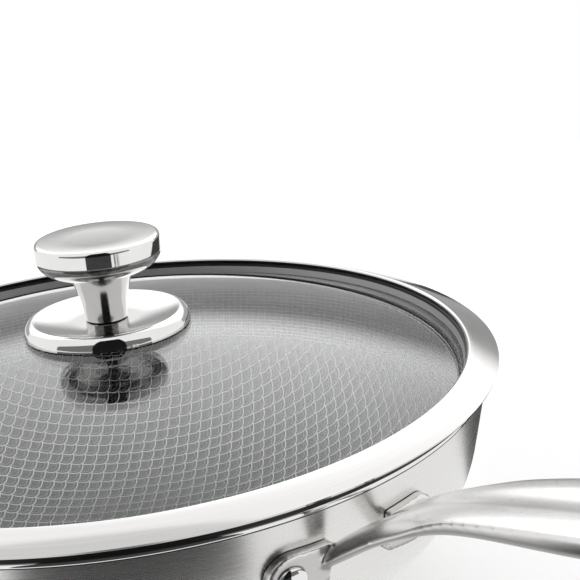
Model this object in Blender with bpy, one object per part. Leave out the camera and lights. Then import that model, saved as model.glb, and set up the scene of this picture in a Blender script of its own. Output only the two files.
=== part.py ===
"""Wok with a glass lid: a clad steel bowl, a cast fork handle on two rivets, and a steel-rimmed lid with a knob.

Metres, +Z up. The origin is the centre of the wok's flat base, and the handle points along +X.
Run with: blender --background --python part.py
"""
import math

import bmesh
import bpy
from mathutils import Matrix, Vector

# Gap kept between touching pieces, and facets round the large and small turned pieces
GAP = 0.0003
ROUND_STEPS = 64
SMALL_STEPS = 24

# Bowl: outside radius at the rim and at the flat base, height, the straight wall below the rim and its lean from
# upright, and the radius of the corner's curve; a wide curve, worked out from these, joins the base to the corner
RIM_RADIUS = 0.1455
BASE_RADIUS = 0.0428
BOWL_HEIGHT = 0.0838
WALL_STRAIGHT = 0.0279
WALL_LEAN = math.radians(11.1)
CORNER_RADIUS = 0.0536
CORNER_STEPS = 4
FLOOR_STEPS = 3

# Clad wall: three bonded sheets, drawn together, and the polished lip that the inner sheet ends in
SKIN_THICKNESS = 0.0006
CORE_THICKNESS = 0.0009
LINER_THICKNESS = 0.0006
LIP_HEIGHT = 0.0022
LIP_ROUNDING = 0.0006

# Handle: reach from the wall to the tip, and its top line as one cubic curve with an arm at each end
HANDLE_REACH = 0.1990
ROOT_BELOW_RIM = 0.0156
TIP_ABOVE_RIM = 0.0480
ROOT_ARM_X = 0.0352
ROOT_ARM_Z = 0.0243
TIP_ARM_X = 0.1500
TIP_ARM_Z = 0.0274

# Handle sections: widths and thicknesses at the fork, the neck, the grip and the tip
NECK_DISTANCE = 0.042
GRIP_DISTANCE = 0.110
TIP_ROUNDING = 0.016
FORK_WIDTH = 0.0326
NECK_WIDTH = 0.0308
GRIP_WIDTH = 0.0400
TIP_WIDTH = 0.0270
FORK_THICKNESS = 0.0070
NECK_THICKNESS = 0.0072
GRIP_THICKNESS = 0.0100
TIP_THICKNESS = 0.0070

# Fall of the handle's top from its two ridges to the edges, and the groove between the ridges
FORK_FALL = 0.0048
GRIP_FALL = 0.0014
FALL_START = 0.030
FALL_END = 0.060
GROOVE_DEPTH = 0.0012
SECTION_COUNT = 28

# Gap between the fork's two prongs
FORK_GAP = 0.0248
FORK_DEPTH = 0.0240
FORK_TIP_RADIUS = 0.0022

# Hanging eye near the handle's tip
EYE_WIDTH = 0.0090
EYE_LENGTH = 0.0220
EYE_FROM_TIP = 0.0280

# Handle pads, riveted to the wall: the rivet's place, the round end about it, and the end at the prong
RIVET_SPREAD = 0.0526
RIVET_BELOW_RIM = 0.0220
PAD_END_RADIUS = 0.0088
PAD_THICKNESS = 0.0030
PAD_INNER_RISE = 0.0084
PAD_INNER_DROP = 0.0064

# Rivets: shank, and the domed heads outside and inside
RIVET_RADIUS = 0.0030
RIVET_HEAD_RADIUS = 0.0053
RIVET_DOME = 0.0026
RIVET_INSIDE_DOME = 0.0015
RIVET_STEPS = 14

# Lid glass: a tempered dome, with its upper edge inside the band and at a height above the bowl's rim
GLASS_INSET = 0.0100
GLASS_EDGE_RISE = 0.00045
GLASS_CROWN_RADIUS = 0.4326
GLASS_THICKNESS = 0.0040
GLASS_HOLE_RADIUS = 0.0052
GLASS_STEPS = 4

# Lid rim: a rolled steel band round the glass, lying on the bowl's lip and past it; heights are above its seat
BAND_OVERHANG = 0.0047
BAND_WIDTH = 0.0123
BAND_CREST_INSET = 0.0012
BAND_CREST_HEIGHT = 0.0078
BAND_EDGE_HEIGHT = 0.0039
BAND_EDGE_DROP = 0.0012
BAND_SEAT_OVERHANG = 0.0011
BAND_LIP_WIDTH = 0.0013
BAND_LIP_HEIGHT = 0.0020
BAND_SHEET = 0.0007
BAND_HOLD = 0.0034

# Knob, its dished plate, and the screw that clamps them to the glass
KNOB_HEIGHT = 0.0326
KNOB_CAP_RADIUS = 0.0242
KNOB_CAP_BAND = 0.0063
KNOB_CAP_ROUNDING = 0.0008
KNOB_STEM_RADIUS = 0.0081
KNOB_NECK_RADIUS = 0.0130
KNOB_FLARE_DROP = 0.0076
KNOB_STEM_SWELL = 0.0018
PLATE_RADIUS = 0.0325
PLATE_SHEET = 0.0010
PLATE_CREST_INSET = 0.0014
PLATE_CREST_HEIGHT = 0.0022
GASKET_RADIUS = 0.0120
GASKET_THICKNESS = 0.0005
BUSH_FLANGE_RADIUS = 0.0090
BUSH_FLANGE_THICKNESS = 0.0012
BUSH_WALL = 0.0016
WASHER_RADIUS = 0.0080
WASHER_THICKNESS = 0.0010
SCREW_RADIUS = 0.0025
SCREW_HEAD_RADIUS = 0.0046
SCREW_HEAD_HEIGHT = 0.0030
SCREW_SLOT_WIDTH = 0.0012
SCREW_SLOT_DEPTH = 0.0012
SCREW_DEPTH = 0.0110


def clear_scene():
    for item in list(bpy.data.objects):
        bpy.data.objects.remove(item, do_unlink=True)


def material(name, colour, metallic, roughness, transmission=0.0):
    made = bpy.data.materials.new(name)
    made.use_nodes = True
    shader = made.node_tree.nodes["Principled BSDF"]
    shader.inputs["Base Color"].default_value = (*colour, 1.0)
    shader.inputs["Metallic"].default_value = metallic
    shader.inputs["Roughness"].default_value = roughness
    shader.inputs["Transmission Weight"].default_value = transmission
    return made


def add_object(name, form, look=None):
    """Turns a bmesh into a scene object, round faces smooth and edges sharp."""
    bmesh.ops.recalc_face_normals(form, faces=form.faces)
    mesh = bpy.data.meshes.new(name)
    form.to_mesh(mesh)
    form.free()
    mesh.shade_smooth()
    mesh.set_sharp_from_angle(angle=math.radians(35))
    made = bpy.data.objects.new(name, mesh)
    bpy.context.collection.objects.link(made)
    if look is not None:
        mesh.materials.append(look)
    return made


def turned(name, outline, look=None, steps=ROUND_STEPS):
    """Spins a closed outline of (radius, height) points about the Z axis, with a facet's middle on the X axis."""
    form = bmesh.new()
    start = math.pi / steps
    points = [form.verts.new((radius * math.cos(start), radius * math.sin(start), height))
              for radius, height in outline]
    edges = []
    for first, second in zip(points, points[1:] + points[:1]):
        if first.co.x > 1e-9 or second.co.x > 1e-9:
            edges.append(form.edges.new((first, second)))
    bmesh.ops.spin(form, geom=points + edges, cent=(0, 0, 0), axis=(0, 0, 1), angle=2 * math.pi,
                   steps=steps, use_merge=True)
    bmesh.ops.remove_doubles(form, verts=form.verts, dist=1e-6)
    return add_object(name, form, look)


def arc(centre, radius, start, end, steps):
    """Points on a circular arc in the outline's plane; angles in radians, counter-clockwise from +radius."""
    points = []
    for step in range(steps + 1):
        angle = start + (end - start) * step / steps
        points.append((centre[0] + radius * math.cos(angle), centre[1] + radius * math.sin(angle)))
    return points


def ease(share):
    """Half a cosine, from 0 to 1."""
    share = min(max(share, 0.0), 1.0)
    return 0.5 - 0.5 * math.cos(math.pi * share)


def mix(first, second, share):
    return first + (second - first) * share


def wall_radius(height, offset=0.0):
    """Radius of the straight wall's outside at a height, moved inwards by an offset square to the wall."""
    return RIM_RADIUS - (BOWL_HEIGHT - height) * math.tan(WALL_LEAN) - offset / math.cos(WALL_LEAN)


def corner_centre():
    """Centre of the corner's curve, which meets the straight wall where that begins."""
    start = BOWL_HEIGHT - WALL_STRAIGHT
    return (wall_radius(start) - CORNER_RADIUS * math.cos(WALL_LEAN), start + CORNER_RADIUS * math.sin(WALL_LEAN))


def floor_curve():
    """Radius of the wide curve that is level at the base's edge, and the height angle where the corner takes over."""
    side, level = corner_centre()
    side -= BASE_RADIUS
    radius = (side ** 2 + level ** 2 - CORNER_RADIUS ** 2) / (2 * (level - CORNER_RADIUS))
    return radius, math.atan2(level - radius, side)


def bowl_line(offset, top):
    """Line from the axis along the base and up the wall to a height, at an offset inside the outer face."""
    radius, turn = floor_curve()
    line = [(0.0, offset)]
    line += arc((BASE_RADIUS, radius), radius - offset, -math.pi / 2, turn, FLOOR_STEPS)
    line += arc(corner_centre(), CORNER_RADIUS - offset, turn, -WALL_LEAN, CORNER_STEPS)[1:]
    line.append((wall_radius(top, offset), top))
    return line


def sheet(name, outer, inner, top, look):
    """One drawn sheet of the bowl between two offsets from the outer face."""
    return turned(name, bowl_line(outer, top) + bowl_line(inner, top)[::-1], look)


def cut(target, cutter, operation="DIFFERENCE"):
    """Applies a Boolean and removes the cutter."""
    step = target.modifiers.new("cut", "BOOLEAN")
    step.operation = operation
    step.solver = "EXACT"
    step.object = cutter
    graph = bpy.context.evaluated_depsgraph_get()
    graph.update()
    result = bpy.data.meshes.new_from_object(target.evaluated_get(graph))
    target.modifiers.remove(step)
    old = target.data
    target.data = result
    result.name = target.name
    bpy.data.meshes.remove(old)
    bpy.data.objects.remove(cutter, do_unlink=True)
    target.data.shade_smooth()
    target.data.set_sharp_from_angle(angle=math.radians(35))


CORE_OFFSET = SKIN_THICKNESS + GAP
LINER_OFFSET = CORE_OFFSET + CORE_THICKNESS + GAP
WALL = LINER_OFFSET + LINER_THICKNESS
LIP_BOTTOM = BOWL_HEIGHT - LIP_HEIGHT
ROOT_HEIGHT = BOWL_HEIGHT - ROOT_BELOW_RIM
TIP_HEIGHT = BOWL_HEIGHT + TIP_ABOVE_RIM
RIVET_HEIGHT = BOWL_HEIGHT - RIVET_BELOW_RIM


def inner_liner(look):
    """Inner sheet, whose edge is rolled over the two others as a solid polished lip."""
    inside = bowl_line(WALL, BOWL_HEIGHT)
    inside[-1] = (wall_radius(BOWL_HEIGHT, WALL) - LIP_ROUNDING, BOWL_HEIGHT - LIP_ROUNDING)
    lip_inner = wall_radius(BOWL_HEIGHT, WALL)
    lip = arc((RIM_RADIUS - LIP_ROUNDING, BOWL_HEIGHT - LIP_ROUNDING), LIP_ROUNDING, 0.0, math.pi / 2, 2)
    underside = [(wall_radius(LIP_BOTTOM, LINER_OFFSET), LIP_BOTTOM), (wall_radius(LIP_BOTTOM), LIP_BOTTOM)]
    outside = bowl_line(LINER_OFFSET, LIP_BOTTOM)[:-1]
    outline = outside + underside + lip + [(lip_inner, BOWL_HEIGHT)] + inside[::-1]
    return turned("inner_liner", outline, look)


def rivet_frame(side):
    """Place on the facet of the wall's outside that a rivet goes through, and the direction square to it."""
    radius = wall_radius(RIVET_HEIGHT)
    sway = math.asin(side * RIVET_SPREAD / 2 / radius)
    facet = 2 * math.pi / ROUND_STEPS
    middle = round(sway / facet) * facet
    reach = radius * math.cos(facet / 2) / math.cos(sway - middle)
    level = math.cos(WALL_LEAN)
    normal = Vector((math.cos(middle) * level, math.sin(middle) * level, -math.sin(WALL_LEAN)))
    place = Vector((reach * math.cos(sway), reach * math.sin(sway), RIVET_HEIGHT))
    return place, normal


def turn_to(place, normal):
    return Matrix.Translation(place) @ normal.to_track_quat("Z", "Y").to_matrix().to_4x4()


def rivet(side, name, look):
    """One rivet, formed with a domed head outside the pad and a flatter one inside the liner."""
    place, normal = rivet_frame(side)
    outside = PAD_THICKNESS + 2 * GAP
    inside = -WALL - GAP
    outline = [(0.0, inside - RIVET_INSIDE_DOME)]
    outline += dome(RIVET_HEAD_RADIUS, inside, -RIVET_INSIDE_DOME)[::-1]
    outline += [(RIVET_RADIUS, inside), (RIVET_RADIUS, outside)]
    outline += dome(RIVET_HEAD_RADIUS, outside, RIVET_DOME)
    outline.append((0.0, outside + RIVET_DOME))
    made = turned(name, outline, look, RIVET_STEPS)
    made.data.transform(turn_to(place, normal))
    return made


def dome(radius, base, rise, steps=4):
    """Points of a dome's edge from its rim almost to the axis; a negative rise points down."""
    points = []
    for step in range(steps):
        angle = math.pi / 2 * step / steps
        points.append((radius * math.cos(angle), base + rise * math.sin(angle)))
    return points


def rivet_hole(target, side):
    """Drills one piece of the wall for a rivet's shank."""
    place, normal = rivet_frame(side)
    reach = PAD_THICKNESS + WALL + 4 * RIVET_RADIUS
    radius = RIVET_RADIUS + GAP
    drill = turned("drill", [(0, -reach), (radius, -reach), (radius, reach), (0, reach)], None, RIVET_STEPS)
    drill.data.transform(turn_to(place, normal))
    cut(target, drill)


def handle_point(distance):
    """Height and slope of the handle's top line at a distance from the wall, on one cubic curve."""
    if distance <= 0.0:
        return ROOT_HEIGHT + distance * ROOT_ARM_Z / ROOT_ARM_X, math.atan2(ROOT_ARM_Z, ROOT_ARM_X)
    corners = [(0.0, ROOT_HEIGHT), (ROOT_ARM_X, ROOT_HEIGHT + ROOT_ARM_Z)]
    corners += [(HANDLE_REACH - TIP_ARM_X, TIP_HEIGHT - TIP_ARM_Z), (HANDLE_REACH, TIP_HEIGHT)]
    low, high = 0.0, 1.0
    for _ in range(40):
        middle = (low + high) / 2
        if curve(corners, middle)[0] < distance:
            low = middle
        else:
            high = middle
    before = curve(corners, low - 1e-3)
    after = curve(corners, low + 1e-3)
    slope = math.atan2(after[1] - before[1], after[0] - before[0])
    return curve(corners, low)[1], slope


def curve(corners, share):
    """A point on a cubic Bezier curve."""
    rest = 1 - share
    weights = (rest ** 3, 3 * share * rest ** 2, 3 * share ** 2 * rest, share ** 3)
    return tuple(sum(weight * corner[axis] for weight, corner in zip(weights, corners)) for axis in (0, 1))


def half_width(distance):
    """Half the handle's width: narrowest at the neck, widest in the grip, round at the tip."""
    if distance <= NECK_DISTANCE:
        return mix(FORK_WIDTH, NECK_WIDTH, ease(distance / NECK_DISTANCE)) / 2
    if distance <= GRIP_DISTANCE:
        share = (distance - NECK_DISTANCE) / (GRIP_DISTANCE - NECK_DISTANCE)
        return mix(NECK_WIDTH, GRIP_WIDTH, math.sin(math.pi / 2 * share)) / 2
    share = (distance - GRIP_DISTANCE) / (HANDLE_REACH - GRIP_DISTANCE)
    half = mix(GRIP_WIDTH, TIP_WIDTH, ease(share)) / 2
    over = max(distance - (HANDLE_REACH - TIP_ROUNDING), 0.0) / TIP_ROUNDING
    return half * math.sqrt(max(1 - over ** 2, 0.01))


def thickness(distance):
    """Thickness square to the top line."""
    if distance <= NECK_DISTANCE:
        return mix(FORK_THICKNESS, NECK_THICKNESS, ease(distance / NECK_DISTANCE))
    if distance <= GRIP_DISTANCE:
        share = (distance - NECK_DISTANCE) / (GRIP_DISTANCE - NECK_DISTANCE)
        return mix(NECK_THICKNESS, GRIP_THICKNESS, ease(share))
    return mix(GRIP_THICKNESS, TIP_THICKNESS, ease((distance - GRIP_DISTANCE) / (HANDLE_REACH - GRIP_DISTANCE)))


def fall(distance):
    """How far the top drops from the ridges to the side edges."""
    return mix(FORK_FALL, GRIP_FALL, ease((distance - FALL_START) / (FALL_END - FALL_START)))


def section(half, thick, drop):
    """A closed cast section of (side, height) points: two ridges with a groove between, and a rounded underside."""
    quarter = SECTION_COUNT // 4
    right = []
    for step in range(quarter + 1):
        share = math.sin(math.pi / 2 * step / quarter)
        height = -GROOVE_DEPTH * (1 - (share / 0.45) ** 2) ** 2 if share < 0.45 else 0.0
        if share > 0.45:
            height = -drop * ((share - 0.45) / 0.55) ** 3
        right.append((half * share, height))
    for step in range(1, quarter + 1):
        bend = math.pi / 2 * step / quarter
        depth = (thick - drop) * math.sin(bend) ** 0.7
        right.append((half * math.cos(bend) ** 0.4 if step < quarter else 0.0, -drop - depth))
    left = [(-side, height) for side, height in right[-2:0:-1]]
    return right + left


def loft(name, rings, look=None):
    """Skins a row of rings with equal counts of points and caps both ends."""
    form = bmesh.new()
    loops = [[form.verts.new(point) for point in ring] for ring in rings]
    for first, second in zip(loops, loops[1:]):
        for step in range(len(first)):
            after = (step + 1) % len(first)
            form.faces.new((first[step], first[after], second[after], second[step]))
    form.faces.new(loops[0][::-1])
    form.faces.new(loops[-1])
    return add_object(name, form, look)


def ring_at(distance):
    """Places the handle's section across its top line."""
    start = wall_radius(ROOT_HEIGHT)
    height, slope = handle_point(distance)
    ring = []
    for side, rise in section(half_width(distance), thickness(distance), fall(distance)):
        ring.append((start + distance - rise * math.sin(slope), side, height + rise * math.cos(slope)))
    return ring


def bar(look):
    """The handle's bar from inside the wall to the rounded tip, before its fork is cut."""
    bend = HANDLE_REACH - TIP_ROUNDING
    distances = [-3 * PAD_THICKNESS, -PAD_THICKNESS]
    distances += [mix(0.0, FALL_END, step / 9) for step in range(10)]
    distances += [mix(FALL_END, bend, step / 7) for step in range(1, 8)]
    distances += [bend + TIP_ROUNDING * math.sin(math.radians(angle)) for angle in (25, 45, 60, 75, 90)]
    return loft("handle", [ring_at(distance) for distance in distances], look)


def fork_cutter():
    """An upright wedge with a round tip, which opens the bar into two prongs."""
    start = wall_radius(ROOT_HEIGHT)
    tip = FORK_DEPTH - FORK_TIP_RADIUS
    lean = math.atan2(FORK_GAP / 2 - FORK_TIP_RADIUS, tip)
    round_end = arc((start + tip, 0.0), FORK_TIP_RADIUS, lean - math.pi / 2, math.pi / 2 - lean, 6)
    back = -5 * PAD_THICKNESS
    outline = [(start + back, -FORK_GAP / 2), (start, -FORK_GAP / 2)] + round_end
    outline += [(start, FORK_GAP / 2), (start + back, FORK_GAP / 2)]
    return loft("fork", [[(across, side, level) for across, side in outline] for level in (0.0, 2 * TIP_HEIGHT)])


def pad_block(side):
    """The flat outline of one pad, pushed out along +X: a round end about the rivet, flat along top and bottom."""
    inner = FORK_GAP / 2
    centre = RIVET_SPREAD / 2
    outline = arc((centre, RIVET_HEIGHT), PAD_END_RADIUS, -math.pi / 2, math.pi / 2, 10)
    outline += [(inner, RIVET_HEIGHT + PAD_INNER_RISE), (inner, RIVET_HEIGHT - PAD_INNER_DROP)]
    near = BASE_RADIUS
    far = RIM_RADIUS + 4 * PAD_THICKNESS
    rings = [[(depth, side * across, height) for across, height in outline] for depth in (near, far)]
    return loft("pad", rings)


def wall_solid(name, outset):
    """A solid of the bowl's outer shape grown by an outset, for cutting the handle's pads."""
    line = bowl_line(-outset, BOWL_HEIGHT + CORNER_RADIUS)
    return turned(name, line + [(0.0, BOWL_HEIGHT + CORNER_RADIUS)])


def handle(look):
    """Cast handle: two riveted pads on the wall, two prongs that meet at a neck, and a grooved grip with an eye."""
    made = bar(look)
    cut(made, fork_cutter())
    for side in (-1, 1):
        pad = pad_block(side)
        cut(pad, wall_solid("shell", PAD_THICKNESS + GAP), "INTERSECT")
        cut(made, pad, "UNION")
    cut(made, wall_solid("wall", GAP))
    for side in (-1, 1):
        rivet_hole(made, side)
    cut(made, eye_cutter())
    return made


def eye_cutter():
    """A slot with round ends through the handle near its tip."""
    middle = HANDLE_REACH - EYE_FROM_TIP
    centre = wall_radius(ROOT_HEIGHT) + middle
    height, slope = handle_point(middle)
    half = (EYE_LENGTH - EYE_WIDTH) / 2
    outline = arc((half, 0.0), EYE_WIDTH / 2, -math.pi / 2, math.pi / 2, 8)
    outline += arc((-half, 0.0), EYE_WIDTH / 2, math.pi / 2, 3 * math.pi / 2, 8)
    deep = 2 * GRIP_THICKNESS
    rings = [[(along, across, level) for along, across in outline] for level in (-deep, deep)]
    made = loft("eye", rings)
    made.data.transform(Matrix.Translation((centre, 0.0, height)) @ Matrix.Rotation(-slope, 4, "Y"))
    return made


BAND_RADIUS = RIM_RADIUS + BAND_OVERHANG
BAND_INNER_RADIUS = BAND_RADIUS - BAND_WIDTH
GLASS_RADIUS = BAND_RADIUS - GLASS_INSET


def glass_top(radius):
    """Height of the glass's upper face at a radius, on a sphere through its upper edge."""
    crown = GLASS_CROWN_RADIUS
    rise = math.sqrt(crown ** 2 - radius ** 2) - math.sqrt(crown ** 2 - GLASS_RADIUS ** 2)
    return BOWL_HEIGHT + GLASS_EDGE_RISE + rise


GLASS_APEX = glass_top(0.0)


def glass_line(lift, first, last, steps):
    """Points along the glass's upper face, moved up or down by a lift."""
    points = []
    for step in range(steps + 1):
        radius = mix(first, last, step / steps)
        points.append((radius, glass_top(radius) + lift))
    return points


def lid_glass(look):
    top = glass_line(0.0, GLASS_HOLE_RADIUS, GLASS_RADIUS, GLASS_STEPS)
    under = glass_line(-GLASS_THICKNESS, GLASS_HOLE_RADIUS, GLASS_RADIUS, GLASS_STEPS)
    return turned("lid_glass", top + under[::-1], look)


def lid_rim_band(look):
    """Rolled band: a broad sloping top, a seat on the bowl's lip, a skirt inside it and a slot for the glass."""
    seat = BOWL_HEIGHT + GAP
    crest = seat + BAND_CREST_HEIGHT
    edge = seat + BAND_EDGE_HEIGHT
    crest_radius = BAND_INNER_RADIUS + BAND_CREST_INSET
    outline = [(BAND_INNER_RADIUS, crest - BAND_CREST_INSET / 2), (crest_radius, crest)]
    for share in (0.35, 0.7):
        outline.append((mix(crest_radius, BAND_RADIUS, share), mix(crest, edge, share ** 1.15)))
    outline += [(BAND_RADIUS, edge), (BAND_RADIUS - BAND_EDGE_DROP / 4, edge - BAND_EDGE_DROP * 0.6)]
    seat_outer = RIM_RADIUS + BAND_SEAT_OVERHANG
    outline += [(BAND_RADIUS - BAND_EDGE_DROP, edge - BAND_EDGE_DROP)]
    outline += [(seat_outer + GAP, edge - BAND_EDGE_DROP - GAP), (seat_outer, seat)]
    slot_wall = GLASS_RADIUS + GAP
    skirt = slot_wall + BAND_SHEET
    hold = GLASS_RADIUS - BAND_HOLD
    skirt_bottom = glass_top(GLASS_RADIUS) - GLASS_THICKNESS - GAP - BAND_SHEET
    outline += [(wall_radius(BOWL_HEIGHT, WALL) - 2 * LIP_ROUNDING, seat)]
    outline += [(skirt, skirt_bottom + BAND_SHEET), (skirt - BAND_SHEET, skirt_bottom)]
    outline += [(hold, glass_top(hold) - GLASS_THICKNESS - GAP - BAND_SHEET)]
    outline += glass_line(-GLASS_THICKNESS - GAP, hold, slot_wall, 1)
    outline += glass_line(GAP, slot_wall, BAND_INNER_RADIUS - BAND_LIP_WIDTH, 1)
    outline.append((BAND_INNER_RADIUS - BAND_LIP_WIDTH, glass_top(BAND_INNER_RADIUS) + BAND_LIP_HEIGHT / 2))
    outline.append((BAND_INNER_RADIUS - GAP, glass_top(BAND_INNER_RADIUS) + BAND_LIP_HEIGHT))
    return turned("lid_rim_band", outline, look)


GASKET_BOTTOM = GLASS_APEX + GAP
PLATE_BOTTOM = GASKET_BOTTOM + GASKET_THICKNESS + GAP
KNOB_BOTTOM = PLATE_BOTTOM + PLATE_SHEET + GAP
SHANK_HOLE = SCREW_RADIUS + GAP


def knob(look):
    """Solid turned knob: a flat round cap over a trumpet stem, with a blind bore for the screw."""
    top = KNOB_BOTTOM + KNOB_HEIGHT
    band_low = top - KNOB_CAP_BAND
    neck = band_low - KNOB_FLARE_DROP
    bore_top = KNOB_BOTTOM + SCREW_DEPTH + 2 * GAP
    rounding = KNOB_CAP_ROUNDING
    outline = [(0.0, bore_top), (SHANK_HOLE, bore_top), (SHANK_HOLE, KNOB_BOTTOM)]
    outline += [(KNOB_STEM_RADIUS - GAP, KNOB_BOTTOM), (KNOB_STEM_RADIUS, KNOB_BOTTOM + GAP)]
    for share in (0.25, 0.5, 0.75):
        swell = KNOB_STEM_SWELL * share + (KNOB_NECK_RADIUS - KNOB_STEM_RADIUS - KNOB_STEM_SWELL) * share ** 3
        outline.append((KNOB_STEM_RADIUS + swell, mix(KNOB_BOTTOM, neck, share)))
    outline.append((KNOB_NECK_RADIUS, neck))
    reach = KNOB_CAP_RADIUS - KNOB_NECK_RADIUS
    for angle in (30, 60):
        bend = math.radians(angle)
        outline.append((KNOB_NECK_RADIUS + reach * math.sin(bend), neck + KNOB_FLARE_DROP * (1 - math.cos(bend))))
    outline += [(KNOB_CAP_RADIUS, band_low), (KNOB_CAP_RADIUS, top - rounding), (KNOB_CAP_RADIUS - rounding, top)]
    outline += [(KNOB_CAP_RADIUS / 2, top - GAP), (0.0, top - GAP)]
    return turned("knob", outline, look, SMALL_STEPS)


def knob_plate(look):
    """Pressed plate, dished down to the knob, with its edge rolled down to the glass."""
    low = glass_top(PLATE_RADIUS) + GAP
    crest = PLATE_BOTTOM + PLATE_SHEET + PLATE_CREST_HEIGHT
    crest_radius = PLATE_RADIUS - PLATE_CREST_INSET
    flat = GASKET_RADIUS
    hole = SHANK_HOLE
    upper = [(hole, PLATE_BOTTOM + PLATE_SHEET), (flat, PLATE_BOTTOM + PLATE_SHEET)]
    for share in (0.4, 0.75):
        upper.append((mix(flat, crest_radius, share), mix(PLATE_BOTTOM + PLATE_SHEET, crest, share ** 2)))
    upper.append((crest_radius, crest))
    side = (PLATE_RADIUS, mix(crest, low, 0.45))
    foot = PLATE_RADIUS - PLATE_SHEET / 3
    under = [(foot, low), (foot - PLATE_SHEET, low), (PLATE_RADIUS - PLATE_SHEET, side[1])]
    under.append((crest_radius - PLATE_SHEET / 2, crest - PLATE_SHEET))
    for share in (0.75, 0.4):
        level = mix(PLATE_BOTTOM + PLATE_SHEET, crest, share ** 2) - PLATE_SHEET
        under.append((mix(flat, crest_radius, share), level))
    under += [(flat, PLATE_BOTTOM), (hole, PLATE_BOTTOM)]
    return turned("knob_plate", upper + [side] + under, look, SMALL_STEPS)


def washer(name, bottom, thick, radius, look):
    """A flat ring round the screw's shank."""
    hole = SHANK_HOLE
    return turned(name, [(hole, bottom), (radius, bottom), (radius, bottom + thick), (hole, bottom + thick)],
                  look, SMALL_STEPS)


GLASS_UNDER = GLASS_APEX - GLASS_THICKNESS
BUSH_BOTTOM = GLASS_UNDER - GAP - BUSH_FLANGE_THICKNESS
WASHER_BOTTOM = BUSH_BOTTOM - GAP - WASHER_THICKNESS
SCREW_HEAD_TOP = WASHER_BOTTOM - GAP


def glass_bush(look):
    """Silicone bush: a flange under the glass and a sleeve through its hole."""
    sleeve_top = glass_top(GLASS_HOLE_RADIUS) - GAP
    outline = [(SHANK_HOLE, BUSH_BOTTOM), (BUSH_FLANGE_RADIUS, BUSH_BOTTOM)]
    outline.append((BUSH_FLANGE_RADIUS, glass_top(BUSH_FLANGE_RADIUS) - GLASS_THICKNESS - GAP))
    sleeve = min(SHANK_HOLE + BUSH_WALL, GLASS_HOLE_RADIUS - GAP)
    outline.append((sleeve, glass_top(sleeve) - GLASS_THICKNESS - GAP))
    outline += [(sleeve, sleeve_top), (SHANK_HOLE, sleeve_top)]
    return turned("glass_bush", outline, look, SMALL_STEPS)


def knob_screw(look):
    """Pan-head screw from below, into the knob's bore."""
    top = KNOB_BOTTOM + SCREW_DEPTH
    head_low = SCREW_HEAD_TOP - SCREW_HEAD_HEIGHT
    outline = [(0.0, head_low)]
    outline += dome(SCREW_HEAD_RADIUS, SCREW_HEAD_TOP - SCREW_HEAD_HEIGHT / 3, -SCREW_HEAD_HEIGHT * 2 / 3)[::-1]
    outline += [(SCREW_HEAD_RADIUS, SCREW_HEAD_TOP), (SCREW_RADIUS, SCREW_HEAD_TOP)]
    outline += [(SCREW_RADIUS, top - SCREW_RADIUS / 3), (SCREW_RADIUS * 2 / 3, top), (0.0, top)]
    made = turned("knob_screw", outline, look, RIVET_STEPS)
    for turn in (0, 1):
        form = bmesh.new()
        bmesh.ops.create_cube(form, size=1.0)
        slot = add_object("slot", form)
        slot.data.transform(Matrix.Rotation(turn * math.pi / 2, 4, "Z") @ Matrix.Diagonal(
            (SCREW_HEAD_RADIUS * 1.1, SCREW_SLOT_WIDTH, 2 * SCREW_SLOT_DEPTH, 1.0)))
        slot.data.transform(Matrix.Translation((0.0, 0.0, head_low)))
        cut(made, slot)
    return made


def parent_to(name, place, pieces):
    """Groups pieces under an empty at the place where the group sits or lifts from."""
    group = bpy.data.objects.new(name, None)
    group.location = place
    bpy.context.collection.objects.link(group)
    bpy.context.view_layer.update()
    for piece in pieces:
        piece.parent = group
        piece.matrix_parent_inverse = group.matrix_world.inverted()


def build():
    clear_scene()
    brushed = material("brushed_steel", (0.62, 0.62, 0.61), 1.0, 0.28)
    polished = material("polished_steel", (0.70, 0.70, 0.70), 1.0, 0.06)
    etched = material("etched_steel", (0.42, 0.42, 0.42), 1.0, 0.32)
    aluminium = material("aluminium_core", (0.75, 0.76, 0.77), 1.0, 0.40)
    glass = material("tempered_glass", (0.92, 0.95, 0.94), 0.0, 0.02, 1.0)
    silicone = material("silicone", (0.05, 0.05, 0.05), 0.0, 0.55)
    sheet_top = LIP_BOTTOM - GAP
    bowl = [sheet("outer_skin", 0.0, SKIN_THICKNESS, sheet_top, brushed)]
    bowl.append(sheet("core_layer", CORE_OFFSET, CORE_OFFSET + CORE_THICKNESS, sheet_top, aluminium))
    bowl.append(inner_liner(etched))
    for layer in bowl:
        for side in (-1, 1):
            rivet_hole(layer, side)
    bowl.append(handle(brushed))
    bowl.append(rivet(-1, "rivet_left", polished))
    bowl.append(rivet(1, "rivet_right", polished))
    parent_to("wok", (0.0, 0.0, 0.0), bowl)
    lid = [lid_glass(glass), lid_rim_band(polished), knob(polished), knob_plate(polished)]
    lid.append(washer("plate_gasket", GASKET_BOTTOM, GASKET_THICKNESS, GASKET_RADIUS, silicone))
    lid.append(glass_bush(silicone))
    lid.append(washer("screw_washer", WASHER_BOTTOM, WASHER_THICKNESS, WASHER_RADIUS, polished))
    lid.append(knob_screw(polished))
    parent_to("lid", (0.0, 0.0, BOWL_HEIGHT), lid)


build()
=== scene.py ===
"""Wok with a glass lid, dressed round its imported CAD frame, one section for each piece."""
import math

import bmesh
import bpy
from mathutils import Matrix, Vector


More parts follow.
